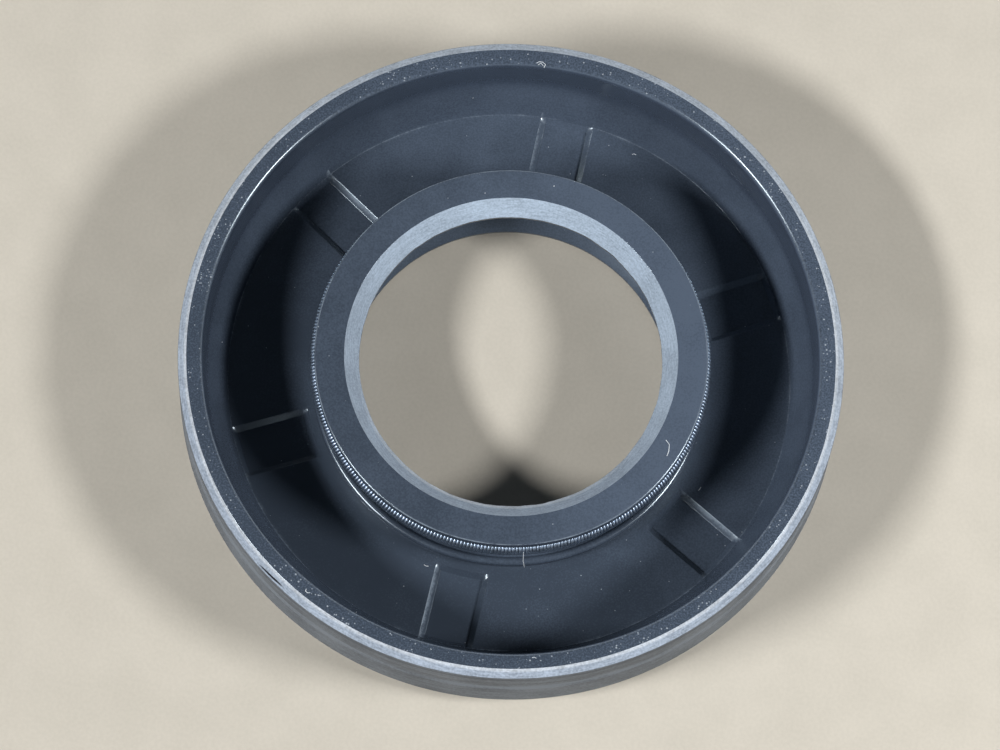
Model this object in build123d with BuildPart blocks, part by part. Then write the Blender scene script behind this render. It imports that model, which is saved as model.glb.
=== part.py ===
from build123d import *

import os
from math import radians, tan

# Rotary shaft seal, 35 x 72 x 12 mm: a rubber body moulded round a pressed steel ring,
# with a garter spring behind the sealing lip and a dust lip on the air side.
# The seal is turned about Z. Z = 0 is the back face, on the air side, and +Z points to
# the oil side, where the spring is. Each section is drawn as radius and height.

# Nominal sizes, as they are ordered
shaft_diameter = 35.0
housing_diameter = 72.0
seal_width = 12.0

# Outer sleeve, which is pressed into the housing
lead_height = 2.5
lead_angle = 20.0
back_edge_radius = 0.3
rim_chamfer_height = 0.67
rim_chamfer_width = 0.95
rim_width = 1.7
rim_edge_radius = 0.25
relief_top_drop = 3.0
relief_height = 2.2
relief_flank = 0.6
relief_depth = 0.13

# Trough between the sleeve and the lip: draft of the wall, cone and floor
wall_draft = 0.2
cone_height = 3.85
cone_angle = 32.0
cone_blend_radius = 3.0
floor_height = 3.0

# Moulding pockets in the floor, left by the pads that held the ring in the mould
pocket_count = 6
pocket_first_angle = 30.0
pocket_width = 5.5
pocket_bottom_width = 4.5
pocket_depth = 0.65
pocket_from_bead = 1.39
pocket_from_cone = 0.34
pocket_end_rise = 0.4
pocket_edge_radius = 0.3

# Sealing lip: trimmed cone, top and outer wall
lip_interference = 1.08
lip_land = 0.3
lip_top_drop = 0.5
trim_height = 1.81
trim_width = 1.64
lip_top_width = 3.24
lip_edge_radius = 0.2

# Garter spring and its groove
coil_diameter = 1.6
wire_diameter = 0.35
spring_inset = 0.38
spring_drop = 1.9
spring_clearance = 0.05
groove_flank_angle = 35.0
mouth_edge_radius = 0.12
shoulder_edge_radius = 0.2

# Neck between lip and floor, with a gutter at its foot and a steep bead round the gutter
neck_inset = 1.1
neck_taper_height = 1.97
neck_blend_radius = 1.5
gutter_depth = 1.4
gutter_blend_radius = 0.25
bead_width = 1.11
bead_height = 2.05
bead_draft = 5.0
bead_edge_radius = 0.25
bead_blend_radius = 0.25

# Air side: cone under the sealing edge, neck and dust lip
air_cone_angle = 25.0
neck_wall_height = 2.3
neck_wall_rise = 0.7
neck_wall_radius = 2.0
neck_thickness = 1.35
hinge_thickness = 0.85
hinge_drop = 0.25
dust_clearance = 0.19
dust_tip_height = 0.7
dust_tip_thickness = 0.45
dust_root_thickness = 1.25
dust_root_radius = 0.35
recess_angle = 45.0

# Steel stiffening ring, an L in section, and the rubber that covers it
sheet_thickness = 1.0
bend_radius = 1.5
cover_outside = 0.8
cover_back = 0.9
cover_rim = 1.0
flange_from_bead = 0.69

# Sleeve, from the back face up to the rim and down to the floor
outer_radius = housing_diameter / 2
back_radius = outer_radius - lead_height * tan(radians(lead_angle))
relief_top = seal_width - relief_top_drop
relief_bottom = relief_top - relief_height
relief_radius = outer_radius - relief_depth
rim_outer_radius = outer_radius - rim_chamfer_width
rim_inner_radius = rim_outer_radius - rim_width
cone_outer_radius = rim_inner_radius - wall_draft
cone_inner_radius = cone_outer_radius - cone_height * tan(radians(cone_angle))

# Lip and groove. The groove's wall is an arc about the spring, between a sloping flank
# below and a level flank above, so it is drawn as their corner with a large rounding.
shaft_radius = shaft_diameter / 2
sealing_radius = shaft_radius - lip_interference
trim_radius = sealing_radius + trim_width
lip_radius = trim_radius + lip_top_width
lip_top = seal_width - lip_top_drop
land_top = lip_top - trim_height
land_bottom = land_top - lip_land
spring_radius = lip_radius - spring_inset
spring_height = lip_top - spring_drop
groove_radius = coil_diameter / 2 + spring_clearance
groove_top = spring_height + groove_radius
groove_corner = spring_radius - groove_radius * tan(radians(90 + groove_flank_angle) / 2)
shoulder_height = groove_top - (lip_radius - groove_corner) / tan(radians(groove_flank_angle))

# Neck and bead. The bead's height is that of its corner, before the corner is rounded.
neck_radius = lip_radius - neck_inset
neck_top = shoulder_height - neck_taper_height
bead_radius = neck_radius + bead_width
bead_top = floor_height + bead_height
bead_foot_radius = bead_radius + bead_height * tan(radians(bead_draft))

# Air side
neck_wall_bottom = floor_height + neck_wall_rise
neck_wall_top = neck_wall_bottom + neck_wall_height
air_cone_radius = sealing_radius + (land_bottom - neck_wall_top) * tan(radians(air_cone_angle))
hinge_radius = neck_radius - hinge_thickness
hinge_height = floor_height - hinge_drop
dust_root_height = hinge_height - dust_root_thickness
dust_tip_radius = shaft_radius + dust_clearance
recess_radius = hinge_radius + dust_root_height * tan(radians(recess_angle))

# Every corner of the rubber's section, as radius, height and rounding
body_corners = [
    (recess_radius, 0, 0),
    (back_radius, 0, back_edge_radius),
    (outer_radius, lead_height, 0),
    (outer_radius, relief_bottom, 0),
    (relief_radius, relief_bottom + relief_flank, 0),
    (relief_radius, relief_top - relief_flank, 0),
    (outer_radius, relief_top, 0),
    (outer_radius, seal_width - rim_chamfer_height, 0),
    (rim_outer_radius, seal_width, 0),
    (rim_inner_radius, seal_width, rim_edge_radius),
    (cone_outer_radius, floor_height + cone_height, cone_blend_radius),
    (cone_inner_radius, floor_height, 0),
    (bead_foot_radius, floor_height, bead_blend_radius),
    (bead_radius, bead_top, bead_edge_radius),
    (neck_radius, bead_top - gutter_depth, gutter_blend_radius),
    (neck_radius, neck_top, neck_blend_radius),
    (lip_radius, shoulder_height, shoulder_edge_radius),
    (groove_corner, groove_top, groove_radius),
    (lip_radius, groove_top, mouth_edge_radius),
    (lip_radius, lip_top, lip_edge_radius),
    (trim_radius, lip_top, 0),
    (sealing_radius, land_top, 0),
    (sealing_radius, land_bottom, 0),
    (air_cone_radius, neck_wall_top, 0),
    (neck_radius - neck_thickness, neck_wall_bottom, neck_wall_radius),
    (hinge_radius, hinge_height, dust_root_radius),
    (dust_tip_radius, dust_tip_height + dust_tip_thickness, 0),
    (dust_tip_radius, dust_tip_height, 0),
    (hinge_radius, dust_root_height, dust_root_radius),
]

ring_outer_radius = outer_radius - cover_outside
ring_inner_radius = bead_radius + flange_from_bead
ring_top = seal_width - cover_rim

pocket_floor = floor_height - pocket_depth
pocket_top = floor_height + pocket_depth
pocket_inner_radius = bead_radius + pocket_from_bead
pocket_outer_radius = cone_inner_radius - pocket_from_cone
pocket_end_radius = cone_inner_radius + pocket_end_rise * tan(radians(cone_angle))
pocket_top_width = 2 * pocket_width - pocket_bottom_width


# Stiffening ring: sheet bent once, with a wall inside the sleeve and a flange in the floor
with BuildPart() as stiffening_ring:
    with BuildSketch(Plane.XZ):
        with BuildLine():
            FilletPolyline(
                (ring_inner_radius, cover_back),
                (ring_outer_radius, cover_back),
                (ring_outer_radius, ring_top),
                radius=bend_radius + sheet_thickness,
            )
            offset(amount=sheet_thickness, side=Side.LEFT)
        make_face()
    revolve(axis=Axis.Z)


# One pocket as a solid, to be cut from the rubber: a tray with leaning sides that runs out
# from the axis, of which the part between the bead and the cone is kept
with BuildPart() as pocket:
    with BuildSketch(Plane.YZ):
        with BuildLine():
            Polyline(
                (-pocket_bottom_width / 2, pocket_floor),
                (pocket_bottom_width / 2, pocket_floor),
                (pocket_top_width / 2, pocket_top),
                (-pocket_top_width / 2, pocket_top),
                close=True,
            )
        make_face()
    extrude(amount=outer_radius)
    with BuildSketch(Plane.XZ):
        with BuildLine():
            Polyline(
                (pocket_inner_radius, pocket_floor),
                (pocket_outer_radius, pocket_floor),
                (pocket_end_radius, floor_height + pocket_end_rise),
                (pocket_end_radius, pocket_top),
                (pocket_inner_radius, pocket_top),
                close=True,
            )
        make_face()
    revolve(axis=Axis.Z, mode=Mode.INTERSECT)


# Rubber body: its section turned all round, the pockets with their rounded upper edges,
# and the room that the ring takes up
with BuildPart() as rubber_body:
    with BuildSketch(Plane.XZ):
        with BuildLine():
            FilletPolyline(
                [(radius, height) for radius, height, rounding in body_corners],
                radius=[rounding for radius, height, rounding in body_corners],
                close=True,
            )
        make_face()
    revolve(axis=Axis.Z)
    with PolarLocations(0, pocket_count, start_angle=pocket_first_angle):
        add(pocket.part, mode=Mode.SUBTRACT)
    pocket_lines = rubber_body.edges(Select.LAST).filter_by(GeomType.LINE)
    fillet(pocket_lines.group_by(Axis.Z)[-1], pocket_edge_radius)
    add(stiffening_ring.part, mode=Mode.SUBTRACT)


# Garter spring: a close-wound coil joined into a ring, as a tube of the coil's diameter
with BuildPart() as garter_spring:
    with Locations((0, 0, spring_height)):
        Torus(spring_radius, coil_diameter / 2)
        Torus(spring_radius, coil_diameter / 2 - wire_diameter, mode=Mode.SUBTRACT)


rubber_body.part.label = "rubber_body"
stiffening_ring.part.label = "stiffening_ring"
garter_spring.part.label = "garter_spring"

os.makedirs("parts", exist_ok=True)
export_step(rubber_body.part, "parts/rubber_body.step")
export_step(stiffening_ring.part, "parts/stiffening_ring.step")
export_step(garter_spring.part, "parts/garter_spring.step")
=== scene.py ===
from math import acos, ceil, cos, hypot, pi, radians, sin, tan

import bpy
from mathutils import Matrix, Vector, noise


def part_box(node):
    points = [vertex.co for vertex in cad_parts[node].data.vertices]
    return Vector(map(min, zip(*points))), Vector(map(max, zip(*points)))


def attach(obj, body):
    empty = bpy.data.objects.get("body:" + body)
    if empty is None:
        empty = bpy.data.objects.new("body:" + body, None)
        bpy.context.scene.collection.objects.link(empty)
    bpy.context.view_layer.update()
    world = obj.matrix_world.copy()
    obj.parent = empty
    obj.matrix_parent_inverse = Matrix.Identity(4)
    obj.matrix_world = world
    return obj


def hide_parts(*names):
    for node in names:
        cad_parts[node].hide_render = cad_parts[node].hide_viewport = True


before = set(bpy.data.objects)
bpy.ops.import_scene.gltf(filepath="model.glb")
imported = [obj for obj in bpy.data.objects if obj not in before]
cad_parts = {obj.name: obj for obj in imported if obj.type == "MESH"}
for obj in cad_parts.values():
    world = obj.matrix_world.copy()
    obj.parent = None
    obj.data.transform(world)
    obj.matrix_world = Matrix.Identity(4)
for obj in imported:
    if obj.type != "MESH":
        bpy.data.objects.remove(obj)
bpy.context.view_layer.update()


# ---- Stiffening ring -------------------------------------------------------------------
# A steel ring of L section, pressed from sheet and phosphated so that the rubber bonds to
# it. The rubber covers it all over, so it only shows where a seal is cut open.

mm = 0.001
phosphate_dark = (0.085, 0.087, 0.083, 1)
phosphate_light = (0.16, 0.163, 0.155, 1)


def connect(tree, value, socket):
    """Links a socket to a socket, or sets it to a plain value."""
    if isinstance(value, bpy.types.NodeSocket):
        tree.links.new(value, socket)
    else:
        socket.default_value = value


def add_node(tree, kind, settings=None, **inputs):
    """Adds a node, sets its properties, and links or sets its inputs by name."""
    node = tree.nodes.new(kind)
    for key, value in (settings or {}).items():
        setattr(node, key, value)
    for key, value in inputs.items():
        connect(tree, value, node.inputs[key.replace("_", " ")])
    return node


def calculate(tree, operation, *values):
    """A Math node of up to three values, which may be sockets or numbers."""
    node = add_node(tree, "ShaderNodeMath", {"operation": operation})
    for value, socket in zip(values, node.inputs):
        connect(tree, value, socket)
    return node.outputs[0]


def blend_colours(tree, share, first, second):
    """The first colour where the share is 0, the second where it is 1."""
    node = add_node(tree, "ShaderNodeMix", {"data_type": "RGBA"})
    for value, number in ((share, 0), (first, 6), (second, 7)):
        connect(tree, value, node.inputs[number])
    return node.outputs[2]


def remap(tree, value, low, high, new_low=0.0, new_high=1.0):
    """A smooth step from one range of values to another."""
    node = add_node(tree, "ShaderNodeMapRange", {"interpolation_type": "SMOOTHSTEP"})
    for item, socket in zip((value, low, high, new_low, new_high), node.inputs):
        connect(tree, item, socket)
    return node.outputs[0]


def new_material(name):
    """A node material, with its tree, its Principled shader and the object coordinates."""
    material = bpy.data.materials.new(name)
    material.use_nodes = True
    tree = material.node_tree
    place = add_node(tree, "ShaderNodeTexCoord").outputs["Object"]
    return material, tree, tree.nodes["Principled BSDF"], place


def add_bump(tree, shader, height, depth, strength):
    """Bump on a shader, from a height of 0 to 1 that stands for a depth in metres."""
    bump = add_node(tree, "ShaderNodeBump", Height=height, Distance=depth, Strength=strength)
    connect(tree, bump.outputs[0], shader.inputs["Normal"])


def new_group(name, kind, inputs, outputs):
    """An empty node group with named sockets, its inner ends ready to be joined."""
    group = bpy.data.node_groups.new(name, kind)
    for side, sockets in (("INPUT", inputs), ("OUTPUT", outputs)):
        for label, value_kind in sockets.items():
            socket_type = "NodeSocket" + value_kind
            group.interface.new_socket(label, in_out=side, socket_type=socket_type)
    entry = group.nodes.new("NodeGroupInput").outputs
    result = group.nodes.new("NodeGroupOutput").inputs
    return group, entry, result


def use_group(tree, group, **inputs):
    """Places a shader node group in a tree and returns its outputs."""
    return add_node(tree, "ShaderNodeGroup", {"node_tree": group}, **inputs).outputs


def surface_grain_group():
    """Fine grain and wide clouds, both from 0 to 1, with their sizes in metres."""
    group, entry, result = new_group(
        "surface_grain",
        "ShaderNodeTree",
        {"Place": "Vector", "Grain Size": "Float", "Cloud Size": "Float"},
        {"Grain": "Float", "Clouds": "Float"},
    )
    for size, detail, output in (("Grain Size", 2.0, "Grain"), ("Cloud Size", 4.0, "Clouds")):
        pattern = add_node(
            group,
            "ShaderNodeTexNoise",
            Vector=entry["Place"],
            Scale=calculate(group, "DIVIDE", 1.0, entry[size]),
            Detail=detail,
        )
        spread = remap(group, pattern.outputs["Fac"], 0.25, 0.75)
        connect(group, spread, result[output])
    return group


surface_grain = surface_grain_group()
ring_steel, tree, shader, place = new_material("phosphated_steel")
grain = use_group(tree, surface_grain, Place=place, Grain_Size=0.1 * mm, Cloud_Size=1.5 * mm)
phosphate = blend_colours(tree, grain["Clouds"], phosphate_dark, phosphate_light)
connect(tree, phosphate, shader.inputs["Base Color"])
connect(tree, remap(tree, grain["Clouds"], 0.0, 1.0, 0.5, 0.68), shader.inputs["Roughness"])
shader.inputs["Metallic"].default_value = 0.6
add_bump(tree, shader, grain["Grain"], depth=0.01 * mm, strength=0.4)
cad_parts["stiffening_ring"].data.materials.clear()
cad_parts["stiffening_ring"].data.materials.append(ring_steel)


# ---- Rubber body -----------------------------------------------------------------------
# One moulding of nitrile rubber: the sleeve that grips the housing, the floor, the neck
# that carries the sealing lip, and the dust lip under it. After moulding, a knife trims
# the lip's cone to size and a stone grinds the rim's chamfer, which leaves both pale.

# Radii and heights that the section's corners share, in millimetres
outer_radius = 36.0
relief_radius = 35.87
rim_top = 11.97
floor_top = 3.0
cone_foot_radius = 30.744
neck_radius = 20.2
lip_radius = 21.3
lip_top = 11.5
sealing_radius = 16.42
hinge_radius = 19.35
dust_lip_radius = 17.69

# The section's corners: radius and height in millimetres, and the rounding of the corner
section_corners = [
    # Back face, lead-in, sleeve with its shallow relief, and ground chamfer
    (20.85, 0.0, 0.15),
    (35.09, 0.0, 0.3),
    (outer_radius, 2.5, 0.4),
    (outer_radius, 6.8, 0.4),
    (relief_radius, 7.4, 0.3),
    (relief_radius, 8.4, 0.2),
    (outer_radius, 9.0, 0.15),
    (outer_radius, 11.33, 0.08),
    (35.05, rim_top, 0.08),
    # Rim, inner wall of the sleeve, cone and floor
    (33.3, rim_top, 0.6),
    (33.15, 6.85, 3.0),
    (cone_foot_radius, floor_top, 0.1),
    # Bead, whose outside leans under its crest, gutter and neck
    (21.272, floor_top, 0.03),
    (22.104, 6.915, 0.45),
    (neck_radius, 3.65, 0.25),
    (neck_radius, 5.6, 1.5),
    # Shoulder, groove round the spring, and lip with its trimmed cone and narrow land
    (lip_radius, 7.572, 0.2),
    (19.287, 10.45, 0.85),
    (lip_radius, 10.45, 0.1),
    (lip_radius, lip_top, 0.26),
    (18.06, lip_top, 0.04),
    (sealing_radius, 9.69, 0.04),
    (sealing_radius, 9.39, 0.06),
    # Air side: cone, inside of the neck, and dust lip
    (18.005, 5.99, 1.0),
    (18.85, 3.7, 2.0),
    (hinge_radius, 2.75, 0.35),
    (dust_lip_radius, 1.15, 0.08),
    (dust_lip_radius, 0.7, 0.08),
    (hinge_radius, 1.5, 0.35),
]

# Limits of the surfaces that have a detail or a finish of their own: the trough, which is
# the floor and the cone round it, the ground chamfer, the trimmed cone and the sleeve
floor_height = floor_top * mm
cone_top = 6.8 * mm
cone_slope = tan(radians(32))
trough_radii = (21.8 * mm, 33.2 * mm)
chamfer_bottom = 11.36 * mm
chamfer_inside = 35.08 * mm
trimmed_heights = (9.71 * mm, 11.48 * mm)
trimmed_outside = 18.04 * mm
sleeve_top = 11.35 * mm
sleeve_inside = 35.2 * mm

# The pads that hold the ring in the mould don't stand quite evenly round it
pocket_angles = [radians(angle) for angle in (31.4, 90.4, 147.9, 208.8, 269.5, 331.4)]
pocket_depth = 0.65 * mm
pocket_width = 5.9 * mm
pocket_bottom_width = 4.7 * mm
pocket_inner_radius = 22.3 * mm
pocket_inner_lean = 0.45 * mm
pocket_outer_radius = 30.4 * mm
pocket_outer_slope = 1.08
pocket_edge_radius = 0.16 * mm
pocket_root_radius = 0.12 * mm

# Rows of faces along the section, columns round it between two pockets, and the angle
# from which two faces meet in a sharp edge
arc_steps_per_right_angle = 6
pocket_arc_steps = 5
chamfer_step = 0.09 * mm
detail_step = 0.5 * mm
plain_step = 0.9 * mm
columns_between_pockets = 32
sharp_angle = radians(35)

# How far the trimmed edge strays from round, and how far from the edge that is felt
sealing_edge = Vector((sealing_radius, 9.54)) * mm
edge_wander = 0.08 * mm
wander_reach = 0.5 * mm
wander_waves = 9

# A nick along the chamfer: from angle to angle, its radius at each end, how much of its
# depth goes inwards, the share of its length that tapers, and where it can't reach
nick_angles = (radians(233.9), radians(239.5))
nick_radii = (35.8 * mm, 35.72 * mm)
nick_width = 0.13 * mm
nick_depth = 0.16 * mm
nick_inward = 0.6
nick_taper = 0.2
nick_bottom = 11.2 * mm
nick_inside = 35.0 * mm

# Lines painted pale as a painted highlight, given as corners of the section with their
# strength: the lip's edge, and the corner between floor and cone
painted_highlight_edges = [
    (Vector((21.24, 11.43)) * mm, 1.0),
    (Vector((cone_foot_radius, floor_top)) * mm, 0.5),
]
painted_highlight_width = 0.13 * mm

# How strong the painted highlight is on each pocket's two upper edges, in the order of the pockets'
# angles
pocket_painted_highlight = ((0.0, 0.0), (0.4, 0.5), (0.7, 0.1), (0.0, 0.0), (0.75, 0.1), (0.1, 0.75))


def rounded_outline(corners):
    """The closed outline through the corners, each rounded with a tangent arc."""
    outline = []
    for number, (radius, height, rounding) in enumerate(corners):
        corner = Vector((radius, height))
        before = (Vector(corners[number - 1][:2]) - corner).normalized()
        after = (Vector(corners[(number + 1) % len(corners)][:2]) - corner).normalized()
        turn = pi - acos(before.dot(after))
        middle = corner + (before + after).normalized() * rounding / cos(turn / 2)
        steps = max(2, ceil(arc_steps_per_right_angle * turn / (pi / 2)))
        start = corner + before * rounding * tan(turn / 2) - middle
        finish = corner + after * rounding * tan(turn / 2) - middle
        for step in range(steps + 1):
            share = step / steps
            arc = start * sin((1 - share) * turn) + finish * sin(share * turn)
            outline.append(middle + arc / sin(turn))
    return [point * mm for point in outline]


def in_trough(point):
    """Whether a point of the section lies on the floor or on the cone round it."""
    inside, outside = trough_radii
    return floor_height * 0.97 < point.y < cone_top and inside < point.x < outside


def on_chamfer(point):
    return point.y > chamfer_bottom and point.x > chamfer_inside


def on_trimmed_cone(point):
    bottom, top = trimmed_heights
    return bottom < point.y < top and point.x < trimmed_outside


def on_sleeve(point):
    return point.y < sleeve_top and point.x > sleeve_inside


def longest_step(point):
    """How far apart the rows of faces may be there: the parts with detail are finer."""
    if on_chamfer(point):
        return chamfer_step
    return detail_step if in_trough(point) or on_trimmed_cone(point) else plain_step


def refined(outline):
    """Adds points to the outline's straight runs, so that no row of faces is too wide."""
    points = []
    for first, second in zip(outline, outline[1:] + outline[:1]):
        count = ceil((second - first).length / longest_step((first + second) / 2))
        points += [first.lerp(second, step / count) for step in range(count)]
    return points


def pocket_depth_at(radius, height):
    """How far below the plain floor or cone the pocket's bottom lies at this radius."""
    outer_rise = (radius - pocket_outer_radius) / cone_slope * pocket_outer_slope
    inner_edge = pocket_inner_radius + pocket_inner_lean
    inner_rise = (inner_edge - radius) * pocket_depth / pocket_inner_lean
    bottom = floor_height - pocket_depth + max(0.0, outer_rise, inner_rise)
    return max(0.0, height - bottom)


def pocket_profile():
    """Places across a pocket, from side to side, each with its share of the depth."""
    top = pocket_width / 2
    foot = pocket_bottom_width / 2
    slant = hypot(pocket_depth, top - foot)
    lean = acos((top - foot) / slant)
    half = [(foot * share, 1.0) for share in (0.0, 0.4, 0.75)]
    root_start = foot - pocket_root_radius * tan(lean / 2)
    edge_end = top + pocket_edge_radius * tan(lean / 2)
    for step in range(pocket_arc_steps + 1):
        angle = lean * step / pocket_arc_steps
        drop = pocket_root_radius * (1 - cos(angle)) / pocket_depth
        half.append((root_start + pocket_root_radius * sin(angle), 1 - drop))
    for step in range(pocket_arc_steps + 1):
        angle = lean * (1 - step / pocket_arc_steps)
        drop = pocket_edge_radius * (1 - cos(angle)) / pocket_depth
        half.append((edge_end - pocket_edge_radius * sin(angle), drop))
    half += [(top + beyond, 0.0) for beyond in (0.5 * mm, 1.1 * mm)]
    return [(-place, share) for place, share in half[:0:-1]] + half


def columns_round(radius, profile):
    """The columns round the axis: angle, share of a pocket's depth, painted highlight on its edge.
    """
    reach = profile[-1][0] / radius
    columns = []
    following_angles = pocket_angles[1:] + pocket_angles[:1]
    for middle, following, sides in zip(pocket_angles, following_angles, pocket_painted_highlight):
        for place, share in profile:
            on_edge = 0.01 < share < 0.5
            columns.append((middle + place / radius, share, on_edge * sides[place > 0]))
        gap = (following - middle) % (2 * pi) - 2 * reach
        for step in range(1, columns_between_pockets):
            columns.append((middle + reach + gap * step / columns_between_pockets, 0.0, 0.0))
    return columns


def edge_wander_at(point, angle):
    """How far the trimmed edge strays there: a knife never leaves it quite round."""
    closeness = max(0.0, 1 - (point - sealing_edge).length / wander_reach)
    course = Vector((cos(angle), sin(angle), 0.0)) * wander_waves
    ripples = 0.6 * noise.noise(course * 4.3)
    chips = 0.5 * max(0.0, noise.noise(course * 17.0) - 0.25)
    return edge_wander * closeness * (noise.noise(course) + ripples + chips)


def painted_highlight_at(point):
    """How strong the painted highlight is there, from 0 to 1, by its distance from the highlighted
    edges.
    """
    return max(
        strength * max(0.0, 1 - (point - edge).length / painted_highlight_width)
        for edge, strength in painted_highlight_edges
    )


def nick_share_at(point, angle):
    """The depth, from 0 to 1, of a nick that something sharp has cut along the chamfer."""
    along = (angle % (2 * pi) - nick_angles[0]) / (nick_angles[1] - nick_angles[0])
    if not 0 < along < 1 or point.y < nick_bottom or point.x < nick_inside:
        return 0.0
    middle = nick_radii[0] + (nick_radii[1] - nick_radii[0]) * along
    width = nick_width * (0.5 + 0.5 * along)
    across = max(0.0, 1 - abs(point.x - middle) / width)
    return across * min(1.0, (1 - along) / nick_taper, along / nick_taper)


def moulding_mesh(name):
    """The section turned round the axis, with columns that run straight along the pockets."""
    outline = refined(rounded_outline(section_corners))
    profile = pocket_profile()
    vertices = []
    nick_shares = []
    painted_highlight_shares = []
    for point in outline:
        for angle, share, pocket_edge_painted_highlight in columns_round(point.x, profile):
            nick = nick_share_at(point, angle)
            radius = point.x + edge_wander_at(point, angle) - nick * nick_depth * nick_inward
            height = point.y - nick * nick_depth
            # Painted highlight along the lip's edge, the floor's corner and the pockets' lit upper
            # edges
            wear = painted_highlight_at(point)
            if in_trough(point):
                drop = share * pocket_depth_at(point.x, point.y)
                height -= drop
                if drop > 0:
                    wear = max(wear, pocket_edge_painted_highlight)
            vertices.append((radius * cos(angle), radius * sin(angle), height))
            nick_shares.append(nick)
            painted_highlight_shares.append(wear)
    rows = len(outline)
    around = len(vertices) // rows
    faces = []
    finishes = []
    for row in range(rows):
        above = (row + 1) % rows
        middle = (outline[row] + outline[above]) / 2
        tests = (on_chamfer, on_trimmed_cone, on_sleeve)
        finish = next((number for number, test in enumerate(tests, 1) if test(middle)), 0)
        for left in range(around):
            right = (left + 1) % around
            corners = ((row, left), (row, right), (above, right), (above, left))
            faces.append([level * around + column for level, column in corners])
            finishes.append(finish)
    mesh = bpy.data.meshes.new(name)
    mesh.from_pydata(vertices, [], faces)
    mesh.polygons.foreach_set("material_index", finishes)
    for share_name, shares in (("nick", nick_shares), ("wear", painted_highlight_shares)):
        mesh.attributes.new(share_name, "FLOAT", "POINT").data.foreach_set("value", shares)
    mesh.shade_smooth()
    mesh.set_sharp_from_angle(angle=sharp_angle)
    return mesh


def add_object(name, mesh):
    piece = bpy.data.objects.new(name, mesh)
    bpy.context.collection.objects.link(piece)
    return piece


rubber = add_object("rubber_body_moulding", moulding_mesh("rubber_body_moulding"))


def settled_dust_group():
    """Pale specks of settled dust, as a mask from 0 to 1, with sizes in metres."""
    group, entry, result = new_group(
        "settled_dust",
        "ShaderNodeTree",
        {"Place": "Vector", "Spacing": "Float", "Speck Size": "Float", "Amount": "Float"},
        {"Mask": "Float"},
    )
    cells = add_node(
        group,
        "ShaderNodeTexVoronoi",
        Vector=entry["Place"],
        Scale=calculate(group, "DIVIDE", 1.0, entry["Spacing"]),
    )
    chance = add_node(group, "ShaderNodeSeparateColor", Color=cells.outputs["Color"]).outputs
    size = calculate(group, "DIVIDE", entry["Speck Size"], entry["Spacing"])
    own_size = calculate(group, "MULTIPLY", size, calculate(group, "ADD", chance[0], 0.3))
    core = calculate(group, "MULTIPLY", own_size, 0.4)
    near = remap(group, cells.outputs["Distance"], core, own_size, 1.0, 0.0)
    there = calculate(group, "LESS_THAN", chance[1], entry["Amount"])
    connect(group, calculate(group, "MULTIPLY", near, there), result["Mask"])
    return group


def painted_edge_highlight_group():
    """A ragged painted highlight along edges, from 0 to 1, out of a mesh's own record of its edges.
    """
    group, entry, result = new_group(
        "edge_wear",
        "ShaderNodeTree",
        {"Place": "Vector", "Edge": "Float", "Chip Size": "Float"},
        {"Mask": "Float"},
    )
    chips = use_group(
        group,
        surface_grain,
        Place=entry["Place"],
        Grain_Size=entry["Chip Size"],
        Cloud_Size=4 * mm,
    )
    ragged = calculate(group, "MULTIPLY_ADD", chips["Grain"], 0.5, chips["Clouds"])
    strength = calculate(group, "MULTIPLY", entry["Edge"], ragged)
    connect(group, remap(group, strength, 0.12, 0.7), result["Mask"])
    return group


def turned_streaks_group():
    """Streaks that run round the axis, from 0 to 1, as a stone or a knife leaves them."""
    group, entry, result = new_group(
        "turned_streaks",
        "ShaderNodeTree",
        {"Place": "Vector", "Length": "Float", "Width": "Float"},
        {"Streaks": "Float"},
    )
    parts = add_node(group, "ShaderNodeSeparateXYZ", Vector=entry["Place"]).outputs
    square = calculate(group, "POWER", parts["Y"], 2.0)
    square = calculate(group, "MULTIPLY_ADD", parts["X"], parts["X"], square)
    radius = calculate(group, "SQRT", square)
    angle = calculate(group, "ARCTAN2", parts["Y"], parts["X"])
    arc = calculate(group, "MULTIPLY", angle, radius)
    stretched = add_node(
        group,
        "ShaderNodeCombineXYZ",
        X=calculate(group, "DIVIDE", arc, entry["Length"]),
        Y=calculate(group, "DIVIDE", radius, entry["Width"]),
        Z=calculate(group, "DIVIDE", parts["Z"], entry["Width"]),
    )
    pattern = add_node(
        group, "ShaderNodeTexNoise", Vector=stretched.outputs[0], Scale=1.0, Detail=3.0
    )
    connect(group, remap(group, pattern.outputs["Fac"], 0.3, 0.7), result["Streaks"])
    return group


settled_dust = settled_dust_group()
edge_wear = painted_edge_highlight_group()
turned_streaks = turned_streaks_group()


def coordinate(tree, vector, axis):
    return add_node(tree, "ShaderNodeSeparateXYZ", Vector=vector).outputs[axis]


def towards(tree, place, azimuth):
    """How far a place lies from the axis in one direction, in metres."""
    across = add_node(tree, "ShaderNodeVectorMath", {"operation": "DOT_PRODUCT"})
    connect(tree, place, across.inputs[0])
    connect(tree, (cos(azimuth), sin(azimuth), 0), across.inputs[1])
    return across.outputs["Value"]


def distance_from_axis(tree, place):
    flat = add_node(tree, "ShaderNodeVectorMath", {"operation": "MULTIPLY"}, Vector=place)
    flat.inputs[1].default_value = (1, 1, 0)
    length = add_node(tree, "ShaderNodeVectorMath", {"operation": "LENGTH"}, Vector=flat.outputs[0])
    return length.outputs["Value"]


def mesh_share(tree, name):
    """What a mesh records at its points under a name, from 0 to 1."""
    return add_node(tree, "ShaderNodeAttribute", {"attribute_name": name}).outputs["Fac"]


def varied(tree, tone, pattern, amount):
    """A tone moved up and down by a pattern of 0 to 1, whose middle leaves it as it is."""
    centred = calculate(tree, "SUBTRACT", pattern, 0.5)
    return calculate(tree, "MULTIPLY_ADD", centred, amount, tone)


def mottled(tree, grain):
    """Fine grain and wide clouds in equal parts, from 0 to 1."""
    clouds = calculate(tree, "MULTIPLY", grain["Clouds"], 0.5)
    return calculate(tree, "MULTIPLY_ADD", grain["Grain"], 0.5, clouds)
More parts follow.
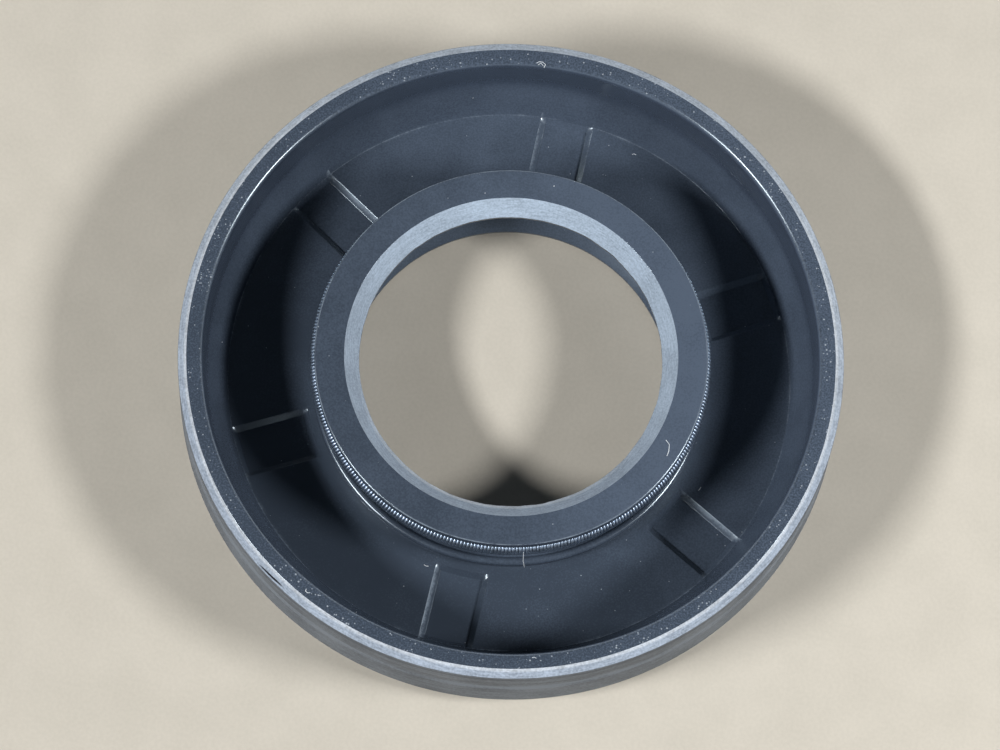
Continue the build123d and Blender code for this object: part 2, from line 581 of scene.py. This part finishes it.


# The moulded skin, with painted shade that makes walls darker than what lies level, and what has
# settled on it
level_dark = (0.043, 0.057, 0.08, 1)
level_light = (0.082, 0.108, 0.152, 1)
wall_painted_shade_dark = (0.026, 0.035, 0.052, 1)
wall_painted_shade_light = (0.055, 0.073, 0.108, 1)
painted_highlight_colour = (0.22, 0.27, 0.33, 1)
dust_colour = (0.4, 0.45, 0.51, 1)

# Painted light and shade: the skin is painted paler towards one side, the lip's top
# lighter towards another, and the floor darker towards a third: the directions in which each is
# strongest
painted_light_azimuth = radians(50)
lip_painted_light_azimuth = radians(15)
floor_painted_shade_azimuth = radians(-115)

# Heights over which the rim and the lip's top begin, and the floor ends
rim_heights = (11.7 * mm, 11.9 * mm)
lip_heights = (11.0 * mm, 11.4 * mm)
floor_heights = (3.1 * mm, 4.2 * mm)

nitrile, tree, shader, place = new_material("moulded_nitrile")
grain = use_group(tree, surface_grain, Place=place, Grain_Size=0.19 * mm, Cloud_Size=5 * mm)
# Painted light: the skin is painted paler towards one side
tone = remap(tree, towards(tree, place, painted_light_azimuth), -30 * mm, 35 * mm, 0.22, 0.62)
tone = varied(tree, tone, grain["Clouds"], 0.3)
height = coordinate(tree, place, "Z")
on_rim = remap(tree, height, *rim_heights)
on_lip = calculate(tree, "SUBTRACT", remap(tree, height, *lip_heights), on_rim)
# Painted light: the lip's top is painted lighter towards one side
lip_painted_light = remap(tree, towards(tree, place, lip_painted_light_azimuth), -20 * mm, 20 * mm, -0.1, 0.42)
tone = calculate(tree, "MULTIPLY_ADD", lip_painted_light, on_lip, tone)
on_floor = remap(tree, height, *floor_heights, 1.0, 0.0)
# Painted shade: the floor is painted darker towards one side
floor_painted_shade = remap(tree, towards(tree, place, floor_painted_shade_azimuth), -20 * mm, 20 * mm, 0.0, -0.28)
tone = calculate(tree, "MULTIPLY_ADD", floor_painted_shade, on_floor, tone)
coarseness = calculate(tree, "MULTIPLY_ADD", on_rim, 0.9, 0.5)
tone = varied(tree, tone, grain["Grain"], coarseness)
facing = add_node(tree, "ShaderNodeNewGeometry").outputs["Normal"]
upward = coordinate(tree, facing, "Z")
# Painted shade: walls take darker copies of the skin's colour than what lies level
skin_with_painted_light = blend_colours(
    tree,
    remap(tree, upward, 0.1, 0.8),
    blend_colours(tree, tone, wall_painted_shade_dark, wall_painted_shade_light),
    blend_colours(tree, tone, level_dark, level_light),
)
# Painted highlight: pale lines along the lip's edge, the floor's corner and the pockets' lit upper
# edges
edge = mesh_share(tree, "wear")
painted_highlight_mask = use_group(tree, edge_wear, Place=place, Edge=edge, Chip_Size=0.3 * mm)["Mask"]
colour_with_painted_light = blend_colours(tree, calculate(tree, "MULTIPLY", painted_highlight_mask, 0.75), skin_with_painted_light, painted_highlight_colour)
facing_up = remap(tree, upward, 0.5, 0.95)
specks = use_group(
    tree,
    settled_dust,
    Place=place,
    Spacing=0.5 * mm,
    Speck_Size=0.07 * mm,
    Amount=calculate(tree, "MULTIPLY_ADD", on_rim, 0.17, 0.06),
)
drift_amount = remap(tree, grain["Clouds"], 0.45, 0.9, 0.04, 0.4)
drifts = use_group(
    tree,
    settled_dust,
    Place=place,
    Spacing=0.24 * mm,
    Speck_Size=0.11 * mm,
    Amount=calculate(tree, "MULTIPLY", on_rim, drift_amount),
)
settled = calculate(tree, "MAXIMUM", specks["Mask"], drifts["Mask"])
settled = calculate(tree, "MULTIPLY", settled, facing_up)
dusty = blend_colours(tree, calculate(tree, "MULTIPLY", settled, 0.8), colour_with_painted_light, dust_colour)
connect(tree, dusty, shader.inputs["Base Color"])
connect(tree, remap(tree, grain["Clouds"], 0.0, 1.0, 0.21, 0.27), shader.inputs["Roughness"])
shader.inputs["Specular IOR Level"].default_value = 1.0
shader.inputs["Specular Tint"].default_value = (0.8, 0.92, 1.0, 1)
add_bump(tree, shader, grain["Grain"], depth=0.003 * mm, strength=0.5)

# Where the rubber is cut: the nick's bottom is dark, partly dark rubber and partly painted
# shade, and a painted highlight pales a strip along the inner edge of each cut cone
nick_dark_and_shade_colour = (0.02, 0.024, 0.03, 1)
highlight_strip_colour = (0.9, 0.95, 1.0, 1)
highlight_strip_blur = 0.12 * mm
highlight_strip_fade = 16 * mm


def pale_nitrile(name, near, far_painted_light, darkest, grain_size, bright_radius, highlight_strip_until):
    """Rubber that a knife or a stone has cut: pale, matt and granular, with the colour of one
    side of the seal and the colour of the other, whose paler far side is painted light, how dark
    its darkest grains are, the radius inside which a painted highlight pales a strip, and how far
    along Y that strip runs."""
    material, tree, shader, place = new_material(name)
    grain = use_group(tree, surface_grain, Place=place, Grain_Size=grain_size, Cloud_Size=3 * mm)
    streaks = use_group(tree, turned_streaks, Place=place, Length=1.2 * mm, Width=0.12 * mm)
    side = coordinate(tree, place, "Y")
    # Painted light: the far side, along +Y, is painted paler than the near side
    whole = blend_colours(tree, remap(tree, side, -12 * mm, 22 * mm), near, far_painted_light)
    radius = distance_from_axis(tree, place)
    # Painted highlight: a paler strip inside the bright radius, fading out along +Y
    highlight_strip = remap(tree, radius, bright_radius - highlight_strip_blur, bright_radius + highlight_strip_blur, 1.0, 0.0)
    highlight_strip_side = remap(tree, side, highlight_strip_until - highlight_strip_fade, highlight_strip_until, 0.45, 0.0)
    whole = blend_colours(tree, calculate(tree, "MULTIPLY", highlight_strip, highlight_strip_side), whole, highlight_strip_colour)
    tone = calculate(tree, "MULTIPLY", grain["Grain"], 0.4)
    tone = calculate(tree, "MULTIPLY_ADD", streaks["Streaks"], 0.35, tone)
    tone = calculate(tree, "MULTIPLY_ADD", grain["Clouds"], 0.25, tone)
    dark = add_node(tree, "ShaderNodeVectorMath", {"operation": "SCALE"}, Scale=darkest)
    connect(tree, whole, dark.inputs[0])
    cut = blend_colours(tree, tone, dark.outputs[0], whole)
    # The nick's dark colour: partly dark rubber, partly painted shade in the cut
    nick_dark_and_shade = remap(tree, mesh_share(tree, "nick"), 0.05, 0.4)
    connect(tree, blend_colours(tree, nick_dark_and_shade, cut, nick_dark_and_shade_colour), shader.inputs["Base Color"])
    shader.inputs["Roughness"].default_value = 0.85
    shader.inputs["Specular IOR Level"].default_value = 0.3
    add_bump(tree, shader, grain["Grain"], depth=0.02 * mm, strength=0.6)
    return material


ground_nitrile = pale_nitrile(
    "ground_nitrile",
    near=(0.43, 0.505, 0.615, 1),
    far_painted_light=(0.51, 0.585, 0.68, 1),
    darkest=0.38,
    grain_size=0.26 * mm,
    bright_radius=35.35 * mm,
    highlight_strip_until=30 * mm,
)
trimmed_nitrile = pale_nitrile(
    "trimmed_nitrile",
    near=(0.35, 0.425, 0.52, 1),
    far_painted_light=(0.465, 0.57, 0.7, 1),
    darkest=0.5,
    grain_size=0.22 * mm,
    bright_radius=16.8 * mm,
    highlight_strip_until=-4 * mm,
)

# The sleeve, rubbed dull, with darker and paler bands: their heights in millimetres and how
# they change the tone. The band from 8.4 to 9.0 mm is painted shade on the relief's downward flank,
# the one from 6.8 to 7.6 mm a painted highlight on its upward flank, and the one from 10.4 to 10.9
# mm is darker
sleeve_dark = (0.052, 0.063, 0.08, 1)
sleeve_light = (0.15, 0.172, 0.2, 1)
sleeve_bands = ((10.4, 10.9, -0.5), (8.4, 9.0, -0.7), (6.8, 7.6, 0.4))
band_blur = 0.15

sleeve_nitrile, tree, shader, place = new_material("rubbed_nitrile")
grain = use_group(tree, surface_grain, Place=place, Grain_Size=0.3 * mm, Cloud_Size=6 * mm)
tone = mottled(tree, grain)
streaks = use_group(tree, turned_streaks, Place=place, Length=6 * mm, Width=0.3 * mm)
tone = varied(tree, tone, streaks["Streaks"], 0.5)
height = coordinate(tree, place, "Z")
# Painted shade and painted highlight on the relief's flanks, and a darker band higher up
for low, high, change in sleeve_bands:
    rise = remap(tree, height, (low - band_blur) * mm, (low + band_blur) * mm)
    fall = remap(tree, height, (high - band_blur) * mm, (high + band_blur) * mm)
    in_band = calculate(tree, "SUBTRACT", rise, fall)
    tone = calculate(tree, "MULTIPLY_ADD", in_band, change, tone)
tone = calculate(tree, "MAXIMUM", 0.0, calculate(tree, "MINIMUM", 1.0, tone))
colour_with_painted_light = blend_colours(tree, tone, sleeve_dark, sleeve_light)
connect(tree, colour_with_painted_light, shader.inputs["Base Color"])
shader.inputs["Roughness"].default_value = 0.6
add_bump(tree, shader, grain["Grain"], depth=0.006 * mm, strength=0.5)
for finish in (nitrile, ground_nitrile, trimmed_nitrile, sleeve_nitrile):
    rubber.data.materials.append(finish)
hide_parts("rubber_body")
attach(rubber, "root")


# ---- Garter spring ---------------------------------------------------------------------
# A close-wound coil of thin spring wire, its ends screwed together into a ring. It lies
# in the groove behind the lip and keeps the lip tight on the shaft.

spring_low, spring_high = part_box("garter_spring")
coil_radius = (spring_high[2] - spring_low[2]) / 2
coil_centre_radius = spring_high[0] - coil_radius
coil_centre_height = (spring_high[2] + spring_low[2]) / 2
wire_diameter = 0.35 * mm
wire_sides = 8
turn_count = 356
points_per_turn = 16
wire_dark = (0.3, 0.37, 0.46, 1)
wire_light = (0.44, 0.53, 0.66, 1)


def coil_tree():
    """A ring of points wound into a coil that runs round the ring, with wire swept along it."""
    group, entry, result = new_group(
        "garter_coil",
        "GeometryNodeTree",
        {
            "Turns": "Int",
            "Points Per Turn": "Int",
            "Ring Radius": "Float",
            "Ring Height": "Float",
            "Coil Radius": "Float",
            "Wire Radius": "Float",
            "Wire Material": "Material",
        },
        {"Geometry": "Geometry"},
    )
    count = calculate(group, "MULTIPLY", entry["Turns"], entry["Points Per Turn"])
    circle = add_node(group, "GeometryNodeCurvePrimitiveCircle", Resolution=count, Radius=1.0)
    index = add_node(group, "GeometryNodeInputIndex").outputs[0]
    round_ring, round_coil = (
        calculate(group, "MULTIPLY", index, calculate(group, "DIVIDE", 2 * pi, points))
        for points in (count, entry["Points Per Turn"])
    )
    wound = calculate(group, "SUBTRACT", entry["Coil Radius"], entry["Wire Radius"])
    radius = calculate(
        group, "MULTIPLY_ADD", wound, calculate(group, "COSINE", round_coil), entry["Ring Radius"]
    )
    height = calculate(
        group, "MULTIPLY_ADD", wound, calculate(group, "SINE", round_coil), entry["Ring Height"]
    )
    place = add_node(
        group,
        "ShaderNodeCombineXYZ",
        X=calculate(group, "MULTIPLY", radius, calculate(group, "COSINE", round_ring)),
        Y=calculate(group, "MULTIPLY", radius, calculate(group, "SINE", round_ring)),
        Z=height,
    )
    coil = add_node(
        group, "GeometryNodeSetPosition", Geometry=circle.outputs[0], Position=place.outputs[0]
    )
    wire = add_node(
        group,
        "GeometryNodeCurvePrimitiveCircle",
        Resolution=wire_sides,
        Radius=entry["Wire Radius"],
    )
    swept = add_node(
        group, "GeometryNodeCurveToMesh", Curve=coil.outputs[0], Profile_Curve=wire.outputs[0]
    )
    smooth = add_node(group, "GeometryNodeSetShadeSmooth", Geometry=swept.outputs[0])
    real = add_node(group, "GeometryNodeRealizeInstances", Geometry=smooth.outputs[0])
    finished = add_node(
        group,
        "GeometryNodeSetMaterial",
        Geometry=real.outputs[0],
        Material=entry["Wire Material"],
    )
    connect(group, finished.outputs[0], result["Geometry"])
    return group


def made_by(group, name, start_mesh, **inputs):
    """Runs a geometry tree once on a mesh and returns its result as a plain mesh object."""
    start = add_object(name + "_start", start_mesh)
    modifier = start.modifiers.new("tree", "NODES")
    modifier.node_group = group
    for item in group.interface.items_tree:
        key = item.name.lower().replace(" ", "_")
        if item.in_out == "INPUT" and key in inputs:
            modifier[item.identifier] = inputs[key]
    evaluated = start.evaluated_get(bpy.context.evaluated_depsgraph_get())
    mesh = bpy.data.meshes.new_from_object(evaluated)
    mesh.name = name
    bpy.data.objects.remove(start)
    return add_object(name, mesh)


spring_steel, tree, shader, place = new_material("spring_wire")
grain = use_group(tree, surface_grain, Place=place, Grain_Size=0.1 * mm, Cloud_Size=2 * mm)
wire_colour = blend_colours(tree, grain["Clouds"], wire_dark, wire_light)
connect(tree, wire_colour, shader.inputs["Base Color"])
connect(tree, remap(tree, grain["Grain"], 0.0, 1.0, 0.4, 0.48), shader.inputs["Roughness"])
shader.inputs["Metallic"].default_value = 1.0
spring = made_by(
    coil_tree(),
    "garter_spring_coil",
    bpy.data.meshes.new("garter_spring_start"),
    turns=turn_count,
    points_per_turn=points_per_turn,
    ring_radius=coil_centre_radius,
    ring_height=coil_centre_height,
    coil_radius=coil_radius,
    wire_radius=wire_diameter / 2,
    wire_material=spring_steel,
)
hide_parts("garter_spring")
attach(spring, "root")


# ---- Lint ------------------------------------------------------------------------------
# Pale fibres and specks that have settled on the rubber since it was moulded: a tuft on
# the rim, some short hairs, and single grains of dust.

speck_size = 0.06 * mm
fibre_radius = 0.032 * mm
fibre_sides = 6
lint_seed = 4
lint_dark = (0.6, 0.65, 0.7, 1)
lint_light = (0.83, 0.88, 0.93, 1)

# Where the specks lie, in millimetres
speck_places = [
    (-9.87, 31.99, 11.96),
    (-5.51, 33.6, 11.96),
    (-5.74, 34.14, 11.96),
    (2.77, 33.73, 11.96),
    (31.65, -14.32, 11.96),
    (26.99, -20.74, 11.96),
    (5.91, -34.09, 11.96),
    (-1.18, -34.03, 11.96),
    (-30.2, -15.32, 11.96),
    (-33.16, -10.35, 11.96),
    (-34.61, -2.43, 11.96),
    (-10.89, 30.23, 5.22),
    (-31.42, -3.36, 4.37),
    (-10.31, -29.79, 4.25),
    (0.32, 19.99, 11.5),
    (-6.83, 17.5, 11.5),
    (25.58, -11.46, 3.0),
    (28.43, -11.26, 3.0),
]

# The hairs, each as the places that it runs through, in millimetres
hair_courses = [
    # Two fibres of a tuft on the rim
    [
        (-4.6, 33.35, 11.93),
        (-4.35, 33.55, 11.96),
        (-3.95, 33.6, 11.97),
        (-3.6, 33.4, 11.96),
        (-3.7, 33.05, 11.8),
    ],
    [(-4.4, 33.2, 11.9), (-4.1, 33.45, 11.97), (-3.8, 33.2, 11.9)],
    # One on the lip's top, one on the rim
    [(18.29, -5.55, 11.52), (18.75, -5.95, 11.52), (18.85, -6.7, 11.52), (18.77, -7.28, 11.52)],
    [(9.5, -32.55, 11.96), (9.67, -32.43, 11.97), (9.95, -32.5, 11.96)],
    # Three on the floor
    [(-4.4, -22.65, 3.05), (-4.16, -22.75, 3.1), (-3.9, -22.7, 3.05)],
    [(22.8, -7.75, 3.03), (22.96, -7.53, 3.06), (23.0, -7.3, 3.03)],
    [(7.6, 28.55, 3.03), (7.79, 28.65, 3.06), (8.05, 28.6, 3.03)],
    # One that hangs down the lip, and one more on the rim
    [(6.02, -20.85, 9.98), (6.12, -21.1, 7.5), (6.3, -21.0, 5.0)],
    [
        (-15.6, -30.55, 11.96),
        (-15.62, -30.8, 11.97),
        (-15.36, -30.95, 11.97),
        (-15.1, -30.85, 11.96),
    ],
]


def random_vector(group, seed, low, high):
    node = add_node(group, "FunctionNodeRandomValue", {"data_type": "FLOAT_VECTOR"}, Seed=seed)
    for value, socket in zip((low, high), node.inputs):
        connect(group, value, socket)
    return node.outputs[0]


def lint_tree():
    """Specks on a mesh's loose points and thin fibres along its edges."""
    group, entry, result = new_group(
        "settled_lint",
        "GeometryNodeTree",
        {
            "Places": "Geometry",
            "Speck Size": "Float",
            "Fibre Radius": "Float",
            "Seed": "Int",
            "Lint Material": "Material",
        },
        {"Geometry": "Geometry"},
    )
    courses = add_node(group, "GeometryNodeMeshToCurve", Mesh=entry["Places"])
    softened = add_node(group, "GeometryNodeSubdivideCurve", Curve=courses.outputs[0], Cuts=2)
    round_fibre = add_node(
        group,
        "GeometryNodeCurvePrimitiveCircle",
        Resolution=fibre_sides,
        Radius=entry["Fibre Radius"],
    )
    fibres = add_node(
        group,
        "GeometryNodeCurveToMesh",
        Curve=softened.outputs[0],
        Profile_Curve=round_fibre.outputs[0],
        Fill_Caps=True,
    )
    speck = add_node(group, "GeometryNodeMeshIcoSphere", Radius=entry["Speck Size"], Subdivisions=2)
    own_size = random_vector(group, entry["Seed"], (0.4, 0.4, 0.3), (1.3, 1.0, 0.6))
    own_turn = random_vector(group, entry["Seed"], (0.0, 0.0, 0.0), (0.0, 0.0, 2 * pi))
    neighbours = add_node(group, "GeometryNodeInputMeshVertexNeighbors").outputs[0]
    loose = add_node(group, "FunctionNodeCompare", {"data_type": "INT", "operation": "EQUAL"})
    connect(group, neighbours, loose.inputs[2])
    specks = add_node(
        group,
        "GeometryNodeInstanceOnPoints",
        Points=entry["Places"],
        Selection=loose.outputs[0],
        Instance=speck.outputs[0],
        Rotation=own_turn,
        Scale=own_size,
    )
    both = add_node(group, "GeometryNodeJoinGeometry")
    for made in (fibres, specks):
        connect(group, made.outputs[0], both.inputs[0])
    real = add_node(group, "GeometryNodeRealizeInstances", Geometry=both.outputs[0])
    smooth = add_node(group, "GeometryNodeSetShadeSmooth", Geometry=real.outputs[0])
    finished = add_node(
        group,
        "GeometryNodeSetMaterial",
        Geometry=smooth.outputs[0],
        Material=entry["Lint Material"],
    )
    connect(group, finished.outputs[0], result["Geometry"])
    return group


def lint_places():
    """A mesh of loose points for the specks and of chains of edges for the hairs."""
    vertices = [Vector(place) * mm for place in speck_places]
    edges = []
    for course in hair_courses:
        first = len(vertices)
        vertices += [Vector(place) * mm for place in course]
        edges += [(number, number + 1) for number in range(first, len(vertices) - 1)]
    mesh = bpy.data.meshes.new("lint_places")
    mesh.from_pydata(vertices, edges, [])
    return mesh


lint_fibre, tree, shader, place = new_material("pale_lint")
grain = use_group(tree, surface_grain, Place=place, Grain_Size=0.05 * mm, Cloud_Size=0.5 * mm)
lint_colour = blend_colours(tree, grain["Clouds"], lint_dark, lint_light)
connect(tree, lint_colour, shader.inputs["Base Color"])
shader.inputs["Roughness"].default_value = 0.9
lint = made_by(
    lint_tree(),
    "lint",
    lint_places(),
    speck_size=speck_size,
    fibre_radius=fibre_radius,
    seed=lint_seed,
    lint_material=lint_fibre,
)
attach(lint, "root")


# ---- Floor -----------------------------------------------------------------------------
# A plain pale board under the seal, of uncoated card that lies flat and scatters light
# evenly.

board_size = 1.6
board_dark = (0.525, 0.49, 0.42, 1)
board_light = (0.585, 0.545, 0.47, 1)

half = board_size / 2
mesh = bpy.data.meshes.new("floor_board")
corners = [(-half, -half, 0), (half, -half, 0), (half, half, 0), (-half, half, 0)]
mesh.from_pydata(corners, [], [(0, 1, 2, 3)])
board = add_object("floor_board", mesh)
board_paper, tree, shader, place = new_material("pale_board")
grain = use_group(tree, surface_grain, Place=place, Grain_Size=0.4 * mm, Cloud_Size=6 * mm)
board_colour = blend_colours(tree, mottled(tree, grain), board_dark, board_light)
connect(tree, board_colour, shader.inputs["Base Color"])
shader.inputs["Roughness"].default_value = 0.9
mesh.materials.append(board_paper)


# ---- Lamps, world and camera -----------------------------------------------------------
# Two soft lamps light the seal from both sides, behind the viewer, in a dim room whose
# walls are pale near the ground.

room_colour = (0.021, 0.024, 0.028, 1)
near_wall_colour = (0.5, 0.51, 0.52, 1)
far_wall_colour = (1.7, 1.72, 1.75, 1)

camera_azimuth = radians(-82.2)
camera_elevation = radians(72.398)
camera_roll = radians(5.015)
camera_distance = 0.64678
camera_aim = Vector((-0.69, -2.58, 12.0)) * mm


def direction_of(azimuth, elevation):
    """The direction, of length 1, in which something is seen from the middle of the seal."""
    level = cos(elevation)
    return Vector((cos(azimuth) * level, sin(azimuth) * level, sin(elevation)))


def add_lamp(name, azimuth, elevation, distance, width, height, power):
    """A soft lamp in metres and watts, that shines at the origin."""
    lamp = bpy.data.lights.new(name, "AREA")
    lamp.shape = "ELLIPSE"
    lamp.size = width
    lamp.size_y = height
    lamp.energy = power
    holder = bpy.data.objects.new(name, lamp)
    direction = direction_of(azimuth, elevation)
    holder.location = direction * distance
    holder.rotation_euler = direction.to_track_quat("Z", "Y").to_euler()
    bpy.context.collection.objects.link(holder)


add_lamp(
    "lamp_left",
    azimuth=radians(216.0),
    elevation=radians(39.0),
    distance=1.0,
    width=0.36,
    height=0.11,
    power=9.2,
)
add_lamp(
    "lamp_right",
    azimuth=radians(-4.0),
    elevation=radians(38.0),
    distance=0.5,
    width=0.15,
    height=0.08,
    power=2.05,
)

world = bpy.data.worlds.new("dim_room")
bpy.context.scene.world = world
world.use_nodes = True
tree = world.node_tree
view = add_node(tree, "ShaderNodeTexCoord").outputs["Generated"]
look = add_node(tree, "ShaderNodeSeparateXYZ", Vector=view).outputs
walls = blend_colours(tree, remap(tree, look["Y"], 0.1, 0.8), near_wall_colour, far_wall_colour)
room = blend_colours(tree, remap(tree, look["Z"], 0.15, 0.5), walls, room_colour)
connect(tree, room, tree.nodes["Background"].inputs["Color"])

camera = bpy.data.cameras.new("camera")
camera.lens = 216.0
camera.sensor_width = 36.0
viewer = bpy.data.objects.new("camera", camera)
turned = (
    Matrix.Rotation(camera_azimuth + pi / 2, 4, "Z")
    @ Matrix.Rotation(pi / 2 - camera_elevation, 4, "X")
    @ Matrix.Rotation(camera_roll, 4, "Z")
)
camera_place = camera_aim + direction_of(camera_azimuth, camera_elevation) * camera_distance
viewer.matrix_world = Matrix.Translation(camera_place) @ turned
bpy.context.collection.objects.link(viewer)
bpy.context.scene.camera = viewer
bpy.context.scene.view_settings.view_transform = "Standard"
